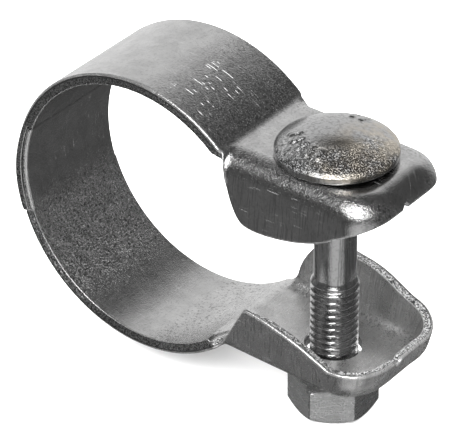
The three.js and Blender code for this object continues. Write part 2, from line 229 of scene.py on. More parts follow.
def ring_column(angle, laps):
    column = Column(
        (RING_MID * math.cos(angle), 0, RING_MID * math.sin(angle)),
        (math.sin(angle), 0, -math.cos(angle)),
        RING_MID * (VALLEY_ANGLE - angle),
    )
    inner, outer = laps(angle)
    column.inner = inner - RING_MID
    column.outer = outer - RING_MID
    column.burr = lerp(BURR, LAP_BURR, float(smooth(SHEET / 2 - column.outer, 0.2, 0.9)))
    return column


def fold_column(at, along, run, flanges):
    """A column of the ear, where the sheet folds from the flat web into its flanges."""
    column = Column(at, along, run)
    share = float(smooth(at[0], FOLD_BEGIN, FOLD_BEGIN + FOLD_START))
    column.fold = lerp(BAND_FOLD, EAR_FOLD, min(FOLD_LEAD * share, 1))
    column.lengths = {side: float(np.interp(at[0], *flanges[side])) for side in (-1, 1)}
    column.bend = share / FOLD_RADIUS
    return column


def valley_column(share, flanges):
    angle = lerp(VALLEY_ANGLE, math.pi / 2, share) + math.pi
    at = (VALLEY_X + VALLEY_RADIUS * math.cos(angle), 0, VALLEY_Z + VALLEY_RADIUS * math.sin(angle))
    return fold_column(at, (-math.sin(angle), 0, math.cos(angle)), at[0] - FOLD_BEGIN, flanges)


def ear_column(x, flanges):
    return fold_column((x, 0, WEB_HEIGHT), (1, 0, 0), x - FOLD_BEGIN, flanges)


def corner_column(turn, lip, flanges):
    straight_end = EAR_TIP - TIP_CORNER
    column = ear_column(straight_end + TIP_CORNER * math.sin(turn), flanges)
    column.fold = EAR_FOLD - TIP_CORNER + TIP_CORNER * math.cos(turn)
    for side in (-1, 1):
        column.lengths[side] = lerp(float(np.interp(straight_end, *flanges[side])), lip, math.sin(turn))
    column.turn = turn
    return column


def tip_column(share, lip, flanges):
    column = corner_column(math.pi / 2, lip, flanges)
    column.fold = (EAR_FOLD - TIP_CORNER) * share
    column.run += (EAR_FOLD - TIP_CORNER) * (1 - share)
    column.tip = True
    return column


def shell_columns(end, step, laps, lip, outlines):
    flanges = {side: spline(outline) for side, outline in outlines.items()}
    lap_angles = list(lerp(end, step, (1 - np.cos(np.linspace(0, math.pi, LAP_COLUMNS))) / 2))[:-1]
    steps = list(np.linspace(step, step - STEP_REACH, STEP_COLUMNS))
    ring = list(np.linspace(step - STEP_REACH, VALLEY_ANGLE, RING_COLUMNS))[1:]
    columns = [ring_column(a, laps) for a in lap_angles + steps + ring]
    columns += [valley_column(i / VALLEY_COLUMNS, flanges) for i in range(1, VALLEY_COLUMNS + 1)]
    straight = np.linspace(VALLEY_X, EAR_TIP - TIP_CORNER, EAR_COLUMNS + 1)[1:]
    columns += [ear_column(x, flanges) for x in straight]
    turns = np.linspace(0, math.pi / 2, CORNER_COLUMNS + 1)[1:]
    columns += [corner_column(turn, lip, flanges) for turn in turns]
    columns += [tip_column(i / FLAT_ROWS, lip, flanges) for i in range(FLAT_ROWS - 1, -1, -1)]
    return columns


def sheet_point(column, side, flat, reach, offset):
    """A point of the sheet: flat is the share of the way to the fold line, reach the developed distance
    beyond it, offset the height over the sheet's middle."""
    outward = column.along * math.sin(column.turn)
    outward = outward + np.array((0, side * math.cos(column.turn), 0))
    up = np.array((-column.along[2], 0, column.along[0]))
    if column.bend > 0:
        angle = min(reach * column.bend, FOLD_TURN)
        straight = max(reach - FOLD_TURN / column.bend, 0) + min(reach, 0)
        if reach < 0:
            angle = 0.0
        out = math.sin(angle) / column.bend + straight * math.cos(angle)
        drop = (1 - math.cos(angle)) / column.bend + straight * math.sin(angle)
    else:
        angle, out, drop = 0.0, reach, 0.0
    normal = outward * math.sin(angle) + up * math.cos(angle)
    side_point = column.at + np.array((0, side * column.fold * flat, 0))
    return side_point + outward * out - up * drop + normal * offset


def edge_loop(steps=4):
    """(face, step back from the free edge, share of the corner radius back, and in) round a sheared edge."""
    turns = np.linspace(0, math.pi / 2, steps + 1)
    outer = [("outer", 0.0, 1 - math.sin(t), 1 - math.cos(t)) for t in turns]
    inner = [("inner", FRACTURE_LEAN, 1 - math.sin(t), 1 - math.cos(t)) for t in turns[::-1]]
    return outer + [("middle", 0.0, 0.0, 0.0)] + inner


EDGE = edge_loop()
EDGE_MARKS = [0.25] * 4 + [0.5, 1.0] + [0.25] * 4     # rounded corner, cut smooth, broken, rounded corner
FLATS = [i / FLAT_ROWS for i in range(FLAT_ROWS + 1)]


def section(column, notch, thin):
    """The closed outline of one column: outer face front to back, back edge, inner face, front edge.
    Each entry is (point, distance across the sheet). notch(y) is how far a tip column's edge is cut back,
    thin(column, side) how much thinner the sheet is at its free edge."""
    full = dict(column.lengths)
    if column.tip:
        for s in (-1, 1):
            full[s] -= notch(s * column.fold)
    corner = {"outer": ROLLOVER, "middle": 0.0, "inner": column.burr}
    back_step = {"outer": ROLLOVER, "inner": FRACTURE_LEAN + column.burr}

    def inner_at(s, reach):
        near_edge = float(smooth(reach, full[s] - THIN_REACH, full[s]))
        return column.inner + thin(column, s) * near_edge

    def face(which):
        rows = []
        for s in (-1, 1):
            near = full[s] - back_step[which]
            reaches = [(1, near * i / REACH_ROWS) for i in range(REACH_ROWS, 0, -1)]
            flats = [(f, 0.0) for f in FLATS[:0:-1]]
            half = reaches + flats
            half = half if s < 0 else [(0.0, 0.0)] + half[::-1]
            for f, r in half:
                offset = column.outer if which == "outer" else inner_at(s, r)
                rows.append((sheet_point(column, s, f, r, offset), s * (column.fold * f + r)))
        return rows

    def edge(s):
        inner = inner_at(s, full[s])
        rows = []
        for which, lean, back, deep in EDGE[1:-1]:
            step, depth = lean + corner[which] * back, corner[which] * deep
            offset = {"outer": column.outer - depth, "inner": inner + depth,
                      "middle": lerp(column.outer, inner, BURNISHED)}[which]
            rows.append((sheet_point(column, s, 1, full[s] - step, offset), s * (column.fold + full[s])))
        return rows

    return face("outer") + edge(1) + face("inner")[::-1] + edge(-1)[::-1]


def lap_profile(inner_radii, outer_radii, step, end):
    """Radii of the two faces against the angle: full sheet up to the step, a thinner lap beyond it.
    Each pair of radii is just past the step and at the lap's end."""
    nose_length = 0.3
    nose = nose_length / RING_MID
    stepped_inside = inner_radii[0] > RING_MID - SHEET / 4

    def laps(angle):
        t = np.clip((angle - step) / STEP_RAMP, 0, 1)
        stepped = 1 - math.sqrt(1 - t * t)
        along = float(smooth(angle, step, step + LAP_EASE))
        inner = lerp(*inner_radii, along)
        outer = lerp(*outer_radii, along)
        if stepped_inside:
            inner = lerp(RING_MID - SHEET / 2, inner, stepped)
        else:
            outer = lerp(RING_MID + SHEET / 2, outer, stepped)
        close = np.clip((angle - (end - nose)) / nose, 0, 1)
        pinch = nose_length * (1 - math.sqrt(max(1 - close * close, 0)))
        return inner + pinch, outer - pinch

    return laps


FACE_ROWS = 2 * (REACH_ROWS + FLAT_ROWS) + 1
EDGE_ROWS = len(EDGE) - 2
INNER_START = FACE_ROWS + EDGE_ROWS


def inner_of(row):
    """The place on the inner face behind a place on the outer face."""
    return INNER_START + FACE_ROWS - 1 - row


def in_flat(row):
    return REACH_ROWS <= row < REACH_ROWS + 2 * FLAT_ROWS


def strip_faces(i, count, tip, holes):
    """(corners, edge mark) of every face between column i and the next. Across the tip only the lip is made,
    because the flat is there already."""
    a, b = i * count, (i + 1) * count
    faces = []
    for row in range(FACE_ROWS - 1):
        if (tip and in_flat(row)) or (i, row) in holes:
            continue
        p, q = inner_of(row), inner_of(row + 1)
        faces.append(((a + row, b + row, b + row + 1, a + row + 1), 0))
        faces.append(((a + p, a + q, b + q, b + p), 0))
    for start, marks in ((FACE_ROWS - 1, EDGE_MARKS), (2 * FACE_ROWS + EDGE_ROWS - 1, EDGE_MARKS[::-1])):
        for k, mark in enumerate(marks):
            j, n = (start + k) % count, (start + k + 1) % count
            faces.append(((a + j, b + j, b + n, a + n), mark))
    return faces


def hole_walls(holes, count):
    """Faces through the sheet round a hole made of open cells."""
    faces = []
    for i, r in holes:
        sides = [((i - 1, r), (i, r), (i, r + 1)), ((i + 1, r), (i + 1, r + 1), (i + 1, r)),
                 ((i, r - 1), (i + 1, r), (i, r)), ((i, r + 1), (i, r + 1), (i + 1, r + 1))]
        for other, (c0, r0), (c1, r1) in sides:
            if other in holes:
                continue
            low, high = c0 * count, c1 * count
            faces.append(((low + r0, high + r1, high + inner_of(r1), low + inner_of(r0)), 1))
    return faces


def end_faces():
    """Faces that close the lapped end."""
    faces = [((row, row + 1, inner_of(row + 1), inner_of(row)), 1) for row in range(FACE_ROWS - 1)]
    back = tuple(range(FACE_ROWS - 1, INNER_START + 1))
    front = tuple(range(INNER_START + FACE_ROWS - 1, INNER_START + FACE_ROWS + EDGE_ROWS)) + (0,)
    return faces + [(back, 1), (front, 1)]


def build_sheet(columns, notch, thin, slot=None):
    """Vertices, faces, per-vertex sheet coordinates and per-face edge marks of a shell.
    slot(a, b, row) is true where the cell between two columns is left open."""
    loops = [section(column, notch, thin) for column in columns]
    count = len(loops[0])
    points = np.array([point for loop in loops for point, _ in loop])
    coords = [(column.run, across) for column, loop in zip(columns, loops) for _, across in loop]
    cells = range(len(columns) - 1)
    holes = set()
    if slot is not None:
        holes = {(i, r) for i in cells for r in range(FACE_ROWS - 1) if slot(columns[i], columns[i + 1], r)}
    marked = [face for i in cells for face in strip_faces(i, count, columns[i + 1].tip, holes)]
    marked += hole_walls(holes, count) + end_faces()
    return points, [face for face, _ in marked], coords, [mark for _, mark in marked]


# ---- Blender meshes ----
def new_object(name, points, faces):
    mesh = bpy.data.meshes.new(name)
    mesh.from_pydata([tuple(p) for p in np.array(points) * MM], [], faces)
    obj = bpy.data.objects.new(name, mesh)
    bpy.context.collection.objects.link(obj)
    return obj


def ring_faces(first, second, count):
    return [(first + j, first + (j + 1) % count, second + (j + 1) % count, second + j) for j in range(count)]


def clean(obj, sharp=38):
    """Joins coincident points, turns every face outwards and shades smoothly except at sharp edges."""
    bm = bmesh.new()
    bm.from_mesh(obj.data)
    bmesh.ops.remove_doubles(bm, verts=bm.verts, dist=2e-7)
    bmesh.ops.dissolve_degenerate(bm, edges=bm.edges, dist=1e-7)
    bmesh.ops.recalc_face_normals(bm, faces=bm.faces)
    for face in bm.faces:
        face.smooth = True
    bm.to_mesh(obj.data)
    bm.free()
    obj.data.set_sharp_from_angle(angle=math.radians(sharp))


def sheet_object(name, parts, place):
    points, faces, coords, marks = parts
    points = points @ np.array(place.to_3x3()).T
    if place.to_3x3().determinant() < 0:
        faces = [f[::-1] for f in faces]
    obj = new_object(name, points, faces)
    layer = obj.data.uv_layers.new(name="sheet")
    values = np.array(coords) * MM
    loops = np.empty(len(obj.data.loops), int)
    obj.data.loops.foreach_get("vertex_index", loops)
    layer.data.foreach_set("uv", values[loops].ravel())
    attribute = obj.data.attributes.new("sheared", "FLOAT", "FACE")
    attribute.data.foreach_set("value", np.array(marks, float))
    clean(obj)
    return obj


def apply_boolean(obj, cutter, operation):
    modifier = obj.modifiers.new("cut", "BOOLEAN")
    modifier.operation = operation
    modifier.solver = "EXACT"
    modifier.object = cutter
    depsgraph = bpy.context.evaluated_depsgraph_get()
    mesh = bpy.data.meshes.new_from_object(obj.evaluated_get(depsgraph))
    obj.modifiers.clear()
    old = obj.data
    obj.data = mesh
    bpy.data.meshes.remove(old)
    bpy.data.objects.remove(cutter)


def flared_cutter(outline, z_low, z_high, flare, past=3):
    """A hole cutter along Z whose ends widen, so that the cut edges are broken, and reach past the sheet.
    outline(extra) gives XY."""
    heights = [z_low - past, z_low, z_low + flare, z_high - flare, z_high, z_high + past]
    extras = [flare + past, flare, 0, 0, flare, flare + past]
    rings = [[(x, y, z) for x, y in outline(extra)] for z, extra in zip(heights, extras)]
    count = len(rings[0])
    points = [p for ring in rings for p in ring]
    faces = [tuple(range(count))[::-1], tuple(range((len(rings) - 1) * count, len(rings) * count))]
    for i in range(len(rings) - 1):
        faces += ring_faces(i * count, (i + 1) * count, count)
    return new_object("cutter", points, faces)


def round_outline(x, radius, steps=48):
    def outline(extra):
        turns = [2 * math.pi * i / steps for i in range(steps)]
        return [(x + (radius + extra) * math.cos(t), (radius + extra) * math.sin(t)) for t in turns]
    return outline


def box_outline(x, half_x, half_y, corner, steps=6):
    def outline(extra):
        points = []
        for q, (sx, sy) in enumerate([(1, 1), (-1, 1), (-1, -1), (1, -1)]):
            for i in range(steps + 1):
                t = math.pi / 2 * (q + i / steps)
                points.append((x + sx * (half_x - corner) + (corner + extra) * math.cos(t),
                               sy * (half_y - corner) + (corner + extra) * math.sin(t)))
        return points
    return outline


# ---- The two shells ----
def upper_notch(y):
    """Depth of the small notch in the upper lip's edge, against Y."""
    return 0.5 * float(1 - smooth(abs(y + 1.5), 0.35, 0.8))


def lower_notch(y):
    return 0.85 * float(1 - smooth(abs(y + 1.7), 0.45, 1.0))


def upper_thin(column, side):
    return 0.3 if column.bend else 0.0


def lower_thin(column, side):
    """The front flange thins most at its sharp peak."""
    if not column.bend:
        return 0.0
    if side > 0:
        return 0.55 * math.sin(column.turn) ** 2
    return 0.55 + 0.9 * float(1 - smooth(abs(column.at[0] - 22.2), 0, 5.5))


def lower_settle(points):
    """The lower ear as it came out of the press: back flange and lip lean out, the tip runs askew."""
    x, y, z = points.T
    depth = np.maximum(WEB_HEIGHT - SHEET / 2 - z, 0) * smooth(x, 17.0, 24.0)
    near_tip = smooth(x, 37.0, 41.5)
    skew = TIP_SKEW_BACK * smooth(y, 3.0, 8.0) - TIP_SKEW_FRONT * smooth(-y, 2.0, 8.0)
    moved = points.copy()
    moved[:, 0] += near_tip * (LIP_LEAN * depth + skew)
    moved[:, 1] += BACK_LEAN * depth * smooth(y, 5.0, 9.0)
    return moved


def rotation(angle):
    """Turns +Z towards +X by angle about Y, as the shell's rest attitude."""
    return Matrix.Rotation(angle, 4, "Y")


def ring_angle(column):
    return math.atan2(column.at[2], column.at[0]) % (2 * math.pi)


def hinge_slot(first, last):
    """True for the cells of the hinge's slot, between two ring angles and within SLOT_HALF of the middle."""
    def is_open(a, b, row):
        if a.bend or b.bend:
            return False
        low, high = sorted((ring_angle(a), ring_angle(b)))
        from_middle = row - REACH_ROWS - FLAT_ROWS
        rows = SLOT_HALF / BAND_FOLD * FLAT_ROWS
        return low >= first - 1e-6 and high <= last + 1e-6 and -rows <= from_middle < rows
    return is_open


def upper_shell():
    end, step = UPPER_END - UPPER_TILT, UPPER_STEP - UPPER_TILT
    laps = lap_profile(OUTER_LAP_INSIDE, OUTER_LAP_OUTSIDE, step, end)
    columns = shell_columns(end, step + STEP_RAMP, laps, UPPER_LIP, UPPER_FLANGES)
    past_tab = LOWER_END + INNER_LAP / RING_MID + TAB_GAP / RING_MID - UPPER_TILT
    slot_end = min(a for a in (ring_angle(c) for c in columns if not c.bend) if a >= past_tab)
    parts = build_sheet(columns, upper_notch, upper_thin, hinge_slot(step + STEP_RAMP, slot_end))
    shell = sheet_object("pressed_shell_upper", parts, rotation(-UPPER_TILT))
    slot = flared_cutter(box_outline(BOLT_X, *NECK_SLOT), *NECK_SLOT_FACES, NECK_SLOT_BREAK)
    apply_boolean(shell, slot, "DIFFERENCE")
    clean(shell)
    return shell


def tab_path():
    """The tab's middle line in XZ: out through the slot, round a bend and along outside the upper shell."""
    lip_mid = OUTER_LAP_OUTSIDE[1] + TAB_GAP + INNER_LAP / 2
    leg = LOWER_END + INNER_LAP / 2 / RING_MID + 0.002
    radial = np.array((math.cos(leg), math.sin(leg)))
    tangent = np.array((-math.sin(leg), math.cos(leg)))
    path = [radius * radial for radius in np.linspace(INNER_LAP_INSIDE[1] + 0.35, lip_mid - TAB_BEND, 5)]
    centre = path[-1] + tangent * TAB_BEND
    for t in np.linspace(0, math.pi / 2, 7)[1:]:
        path.append(centre - tangent * TAB_BEND * math.cos(t) + radial * TAB_BEND * math.sin(t))
    start = math.atan2(path[-1][1], path[-1][0])
    for a in np.linspace(start, LOWER_END + TAB_LIP, 8)[1:]:
        path.append((lip_mid * math.cos(a), lip_mid * math.sin(a)))
    return np.array(path)


def tab_outline():
    """The tab's cross-section, as (along the pipe, through the sheet)."""
    outline = []
    for q, (sy, sn) in enumerate([(1, 1), (-1, 1), (-1, -1), (1, -1)]):
        for t in np.linspace(0, math.pi / 2, 4):
            angle = q * math.pi / 2 + t
            outline.append((sy * (TAB_HALF - TAB_CORNER) + TAB_CORNER * math.cos(angle),
                            sn * (INNER_LAP / 2 - TAB_CORNER) + TAB_CORNER * math.sin(angle)))
    return outline


def hinge_tab():
    """The lower shell's tab: out through the slot and folded back over the upper shell's end."""
    path, outline = tab_path(), tab_outline()
    directions = np.gradient(path, axis=0)
    directions /= np.linalg.norm(directions, axis=1)[:, None]
    normals = np.stack([-directions[:, 1], directions[:, 0]], axis=1)
    points, faces, count, last = [], [], len(outline), len(path) - 1
    for i, (p, n) in enumerate(zip(path, normals)):
        narrow = TAB_NARROW if i == last else 0.0
        for y, h in outline:
            points.append((p[0] + n[0] * h, math.copysign(abs(y) - narrow, y), p[1] + n[1] * h))
    for i in range(last):
        faces += ring_faces(i * count, (i + 1) * count, count)
    faces.append(tuple(range(count))[::-1])
    faces.append(tuple(range(last * count, (last + 1) * count)))
    tab = new_object("tab", points, faces)
    clean(tab)
    return tab


def lower_shell():
    end = 2 * math.pi - LOWER_END - LOWER_TILT
    step = 2 * math.pi - LOWER_STEP - LOWER_TILT
    laps = lap_profile(INNER_LAP_INSIDE[::-1], INNER_LAP_OUTSIDE[::-1], step, end)
    columns = shell_columns(end, step + STEP_RAMP, laps, LOWER_LIP, LOWER_FLANGES)
    parts = build_sheet(columns, lower_notch, lower_thin)
    parts = (lower_settle(parts[0]), *parts[1:])
    mirror = Matrix.Scale(-1, 4, (0, 0, 1))
    shell = sheet_object("pressed_shell_lower", parts, rotation(LOWER_TILT) @ mirror)
    apply_boolean(shell, hinge_tab(), "UNION")
    hole = flared_cutter(round_outline(BOLT_X, BOLT_HOLE_RADIUS), *BOLT_HOLE_FACES, BOLT_HOLE_BREAK)
    apply_boolean(shell, hole, "DIFFERENCE")
    clean(shell)
    return shell


# ---- Bolt and nut: surfaces given as rings of radius against turn, one over another ----
COARSE = np.linspace(0, 2 * math.pi, 72, endpoint=False)
FINE = np.linspace(0, 2 * math.pi, 216, endpoint=False)


def ring(radius, z, turns):
    """One ring, as arrays of radius, height and turn."""
    return np.broadcast_to(radius, turns.shape), np.broadcast_to(z, turns.shape), turns


def thread_radius(turn, z, fade=1.0):
    """A rolled M8 thread, right-handed. turn is measured about the bolt's axis at rest."""
    phase = (z / THREAD_PITCH - turn / (2 * math.pi)) % 1.0
    ramp = np.abs(phase - 0.5) * 2
    tooth = np.clip((ramp - 0.16) / 0.70, 0, 1)
    tooth = 0.72 * tooth + 0.28 * tooth * tooth * (3 - 2 * tooth)
    return THREAD_RADIUS - THREAD_DEPTH * (1 - tooth) * fade


def square_radius(turns, half, corner):
    """Radius of a square with rounded corners."""
    c, s = np.abs(np.cos(turns)), np.abs(np.sin(turns))
    flat = half / np.maximum(c, s)
    inside = half - corner
    b = inside * (c + s)
    rounded = b + np.sqrt(np.maximum(b * b - (2 * inside * inside - corner * corner), 0))
    return np.minimum(flat, rounded)


def head_marks(turns, radius):
    """Plain raised dashes on the forged head, height against turn and radius."""
    height = np.zeros_like(turns)
    for middle in HEAD_MARKS:
        middle = math.radians(middle)
        sideways = np.abs(np.sin(turns - middle)) * radius + 10.0 * (np.cos(turns - middle) < 0)
        bar = (1 - smooth(sideways, 0.3, 0.6)) * smooth(radius, 5.0, 5.35) * (1 - smooth(radius, 7.3, 7.65))
        height = np.maximum(height, bar)
    return MARK_HEIGHT * height


def thread_rings():
    """From the bolt's end up to where the thread runs out into the shank."""
    tip = THREAD_RADIUS - END_CHAMFER
    rings = [ring(lerp(0.5, tip - 0.1, t), BOLT_END, COARSE) for t in np.linspace(0, 1, 5)[:-1]]
    for z in np.arange(BOLT_END + 0.05, THREAD_TOP + 1.3, THREAD_PITCH / 12):
        fade = float(smooth(z, THREAD_TOP + 0.1, THREAD_TOP - 1.6))
        radius = thread_radius(COARSE, z, fade) if fade > 0 else np.full_like(COARSE, THREAD_RADIUS)
        radius = lerp(radius, SHANK_RADIUS, float(smooth(z, THREAD_TOP - 0.9, THREAD_TOP + 0.7)))
        rings.append(ring(np.minimum(radius, tip + (z - BOLT_END)), z, COARSE))
    return rings


def neck_rings():
    """The plain shank, the square neck growing out of it, and the flat underside of the head."""
    bottom = HEAD_SEAT - NECK_HEIGHT
    rings = [ring(SHANK_RADIUS, z, COARSE) for z in np.linspace(THREAD_TOP + 1.6, bottom - 0.35, 12)]
    rings.append(ring(SHANK_RADIUS + 0.08, bottom - 0.1, COARSE))
    square = square_radius(FINE, NECK_HALF, 0.9)
    for share, z in ((0.35, 0.0), (0.75, 0.12), (0.94, 0.34), (1.0, 0.7)):
        rings.append(ring(lerp(SHANK_RADIUS + 0.1, square, share), bottom + z, FINE))
    for z in (1.6, 2.6, 3.6):
        rings.append(ring(square, bottom + z, FINE))
    rings.append(ring(square + 0.12, HEAD_SEAT - 0.15, FINE))
    rings.append(ring(square + 0.35, HEAD_SEAT, FINE))
    for share in (0.35, 0.65, 0.9):
        rings.append(ring(lerp(square + 0.35, HEAD_RADIUS - 0.35, share), HEAD_SEAT, FINE))
    return rings


def head_rings():
    """The head's rim with both its edges rounded, and the dome with its marks."""
    rings = []
    low, high = 0.3, 0.4     # radii of the rim's lower and upper edge
    for t in np.linspace(0, math.pi / 2, 5):
        rings.append(ring(HEAD_RADIUS - low * (1 - math.sin(t)), HEAD_SEAT + low * (1 - math.cos(t)), FINE))
    rim_top = HEAD_SEAT + HEAD_RIM
    for t in np.linspace(0, math.radians(62), 5):
        rings.append(ring(HEAD_RADIUS - high * (1 - math.cos(t)), rim_top - high + high * math.sin(t), FINE))
    dome = HEAD_HEIGHT - HEAD_RIM
    dome_radius = (HEAD_RADIUS**2 + dome**2) / (2 * dome)
    for radius in np.linspace(HEAD_RADIUS - 0.45, 0.4, 46):
        z = HEAD_TOP - dome_radius + math.sqrt(dome_radius**2 - radius**2)
        rings.append(ring(radius, z + head_marks(FINE, radius), FINE))
    return rings


def finer_faces(first, low, second, high):
    """Faces from a ring of low points up to a ring of high points, where low divides high."""
    split = high // low
    faces = []
    for j in range(low):
        k = (j + 1) % low
        for m in range(split):
            a = second + (j * split + m) % high
            b = second + (j * split + m + 1) % high
            faces.append((first + j, b, a))
        faces.append((first + j, first + k, second + (k * split) % high))
    return faces


def coach_bolt():
    rings = thread_rings() + neck_rings() + head_rings()
    sizes = [len(turns) for _, _, turns in rings]
    points, starts = [(0, 0, BOLT_END)], []
    for radius, z, turns in rings:
        starts.append(len(points))
        points += list(zip(radius * np.cos(turns), radius * np.sin(turns), z))
    faces = [(0, starts[0] + (j + 1) % sizes[0], starts[0] + j) for j in range(sizes[0])]
    for i in range(len(rings) - 1):
        if sizes[i] == sizes[i + 1]:
            faces += ring_faces(starts[i], starts[i + 1], sizes[i])
        else:
            faces += finer_faces(starts[i], sizes[i], starts[i + 1], sizes[i + 1])
    top = len(points)
    points.append((0, 0, HEAD_TOP))
    faces += [(starts[-1] + j, starts[-1] + (j + 1) % sizes[-1], top) for j in range(sizes[-1])]
    bolt = new_object("coach_bolt_m8", np.array(points) + np.array((BOLT_X, 0, 0)), faces)
    clean(bolt, 44)
    return bolt


def nut_turns():
    """Turns round the nut, closer together near its corners, each with its angle off the middle of a flat."""
    from_corner = [0, 0.7, 1.4, 2.2, 3.4, 5, 8, 12, 16.5, 21, 25.5, 30]
    sector = from_corner + [60 - a for a in from_corner[-2:0:-1]]
    turns = np.radians(np.array([60 * k + a for k in range(6) for a in sector])) + NUT_ANGLE
    return turns, np.radians(np.array(sector * 6)) - math.pi / 6


def nut_outside(turns, off_middle):
    """Rings from the top face over the chamfer, down the flats and round to the bottom face."""
    flat = NUT_FLATS / 2
    hexagon = np.minimum(flat / np.cos(off_middle), flat / math.cos(math.pi / 6) - 0.1)
    face = NUT_FACE_SHARE * flat
    chamfer = (hexagon - face) * math.tan(NUT_CHAMFER)
    end = [(face - 0.7, 0), (face - 0.12, 0), (face, 0.03),
           (lerp(face, hexagon, 0.93), 0.03 + 0.93 * chamfer), (hexagon, chamfer + 0.12)]
    rings = [ring(r, NUT_TOP - depth, turns) for r, depth in end]
    for share in np.linspace(0.1, 0.9, 7):
        rings.append(ring(hexagon, lerp(NUT_TOP - chamfer, NUT_BOTTOM + chamfer, share), turns))
    return rings + [ring(r, NUT_BOTTOM + depth, turns) for r, depth in end[::-1]]


def nut_bore(turns):
    """Rings up the threaded bore, which is countersunk at both ends."""
    sink = THREAD_RADIUS + 0.3
    rings = [ring(sink + 0.12, NUT_BOTTOM, turns)]
    for z in np.arange(NUT_BOTTOM + 0.06, NUT_TOP - 0.02, THREAD_PITCH / 12):
        depth = min(z - NUT_BOTTOM, NUT_TOP - z)
        rings.append(ring(np.maximum(thread_radius(turns, z) + NUT_PLAY, sink - depth), z, turns))
    return rings + [ring(sink + 0.12, NUT_TOP, turns)]


def hex_nut():
    turns, off_middle = nut_turns()
    rings = nut_outside(turns, off_middle) + nut_bore(turns)
    count = len(turns)
    points = [p for r, z, _ in rings for p in zip(BOLT_X + r * np.cos(turns), r * np.sin(turns), z)]
    faces = []
    for i in range(len(rings)):
        faces += ring_faces(i * count, (i + 1) % len(rings) * count, count)
    nut = new_object("hex_nut_m8", points, faces)
    clean(nut, 24)
    return nut


# ---- Node materials ----
class Nodes:
    """A short way to write a node tree: every call adds one node and returns the socket that it makes."""

    def __init__(self, tree):
        self.tree = tree

    def add(self, kind, inputs=(), output=0, **settings):
        node = self.tree.nodes.new(kind)
        for key, value in settings.items():
            setattr(node, key, value)
        for key, value in dict(inputs).items():
            if isinstance(value, bpy.types.NodeSocket):
                self.tree.links.new(value, node.inputs[key])
            else:
                node.inputs[key].default_value = value
        return node.outputs[output]

    def maths(self, operation, a, b=0.0, clamp=False):
        return self.add("ShaderNodeMath", {0: a, 1: b}, operation=operation, use_clamp=clamp)

    def remap(self, value, low, high, to_low=0.0, to_high=1.0):
        inputs = {"Value": value, "From Min": low, "From Max": high, "To Min": to_low, "To Max": to_high}
        return self.add("ShaderNodeMapRange", inputs, interpolation_type="SMOOTHSTEP")

    def noise(self, vector, scale, detail=3.0, rough=0.55):
        inputs = {"Vector": vector, "Scale": scale, "Detail": detail, "Roughness": rough}
        return self.add("ShaderNodeTexNoise", inputs)

    def split(self, vector, axes="XY"):
        node = self.add("ShaderNodeSeparateXYZ", {0: vector}).node
        return tuple(node.outputs[axis] for axis in axes)

    def stretch(self, vector, scale, turn=0.0):
        inputs = {"Vector": vector, "Scale": scale, "Rotation": (0, 0, turn)}
        return self.add("ShaderNodeMapping", inputs)

    def mix(self, share, a, b):
        node = self.tree.nodes.new("ShaderNodeMix")
        node.data_type = "RGBA"
        for index, value in ((0, share), (6, a), (7, b)):
            if isinstance(value, bpy.types.NodeSocket):
                self.tree.links.new(value, node.inputs[index])
            else:
                node.inputs[index].default_value = value if index == 0 else (*value, 1.0)
        return node.outputs[2]


def grey(level, warm=0.0):
    return (level * (1 + warm), level, level * (1 - warm))


def dashes(n, vector, length, width, turn, cut, patch):
    """Sparse thin lines: noise drawn out along one direction, kept only where a slower noise is high."""
    lines = n.noise(n.stretch(vector, (1 / (length * MM), 1 / (width * MM), 1), turn), 1.0, 1.0, 0.4)
    where = n.noise(vector, 1 / (patch * MM), 1.0)
    return n.maths("MULTIPLY", n.remap(lines, cut, cut + 0.05), n.remap(where, 0.50, 0.60))


def hairlines(n, run, across, track, length, cut):
    """Straight fine scratches along the sheet, side by side in tracks, each track broken at random."""
    lane = n.maths("DIVIDE", across, track * MM)
    number = n.maths("FLOOR", lane)
    middle = window(n, n.maths("FRACT", lane), 0.38, 0.62, 0.08)
    place = n.add("ShaderNodeCombineXYZ", {
        "X": n.maths("DIVIDE", run, length * MM),
        "Y": n.maths("MULTIPLY", number, 3.7),
        "Z": n.maths("MULTIPLY", number, 1.3),
    })
    return n.maths("MULTIPLY", middle, n.remap(n.noise(place, 1.0, 1.0, 0.4), cut, cut + 0.04))


def window(n, value, low, high, soft):
    """1 where value is between low and high, fading out over soft."""
    rise = n.remap(value, low - soft, low + soft)
    fall = n.remap(value, high - soft, high + soft)
    return n.maths("SUBTRACT", rise, fall, clamp=True)


def weighted(n, *terms):
    """The sum of (value, weight) terms."""
    total = 0.0
    for value, weight in terms:
        total = n.maths("ADD", n.maths("MULTIPLY", value, weight), total)
    return total


def finish_metal(material, n, colour, roughness, height, dull):
    """Height is in thousandths of a millimetre. dull is the share of light scattered, not mirrored."""
    bump = n.add("ShaderNodeBump", {"Height": height, "Strength": 1.0, "Distance": 0.001 * MM})
    shader = n.tree.nodes["Principled BSDF"]
    n.tree.links.new(colour, shader.inputs["Base Color"])
    n.tree.links.new(roughness, shader.inputs["Roughness"])
    n.tree.links.new(bump, shader.inputs["Normal"])
    n.tree.links.new(n.maths("SUBTRACT", 1.0, dull, clamp=True), shader.inputs["Metallic"])
    return material


def new_material(name):
    material = bpy.data.materials.new(name)
    material.use_nodes = True
    return material, Nodes(material.node_tree)


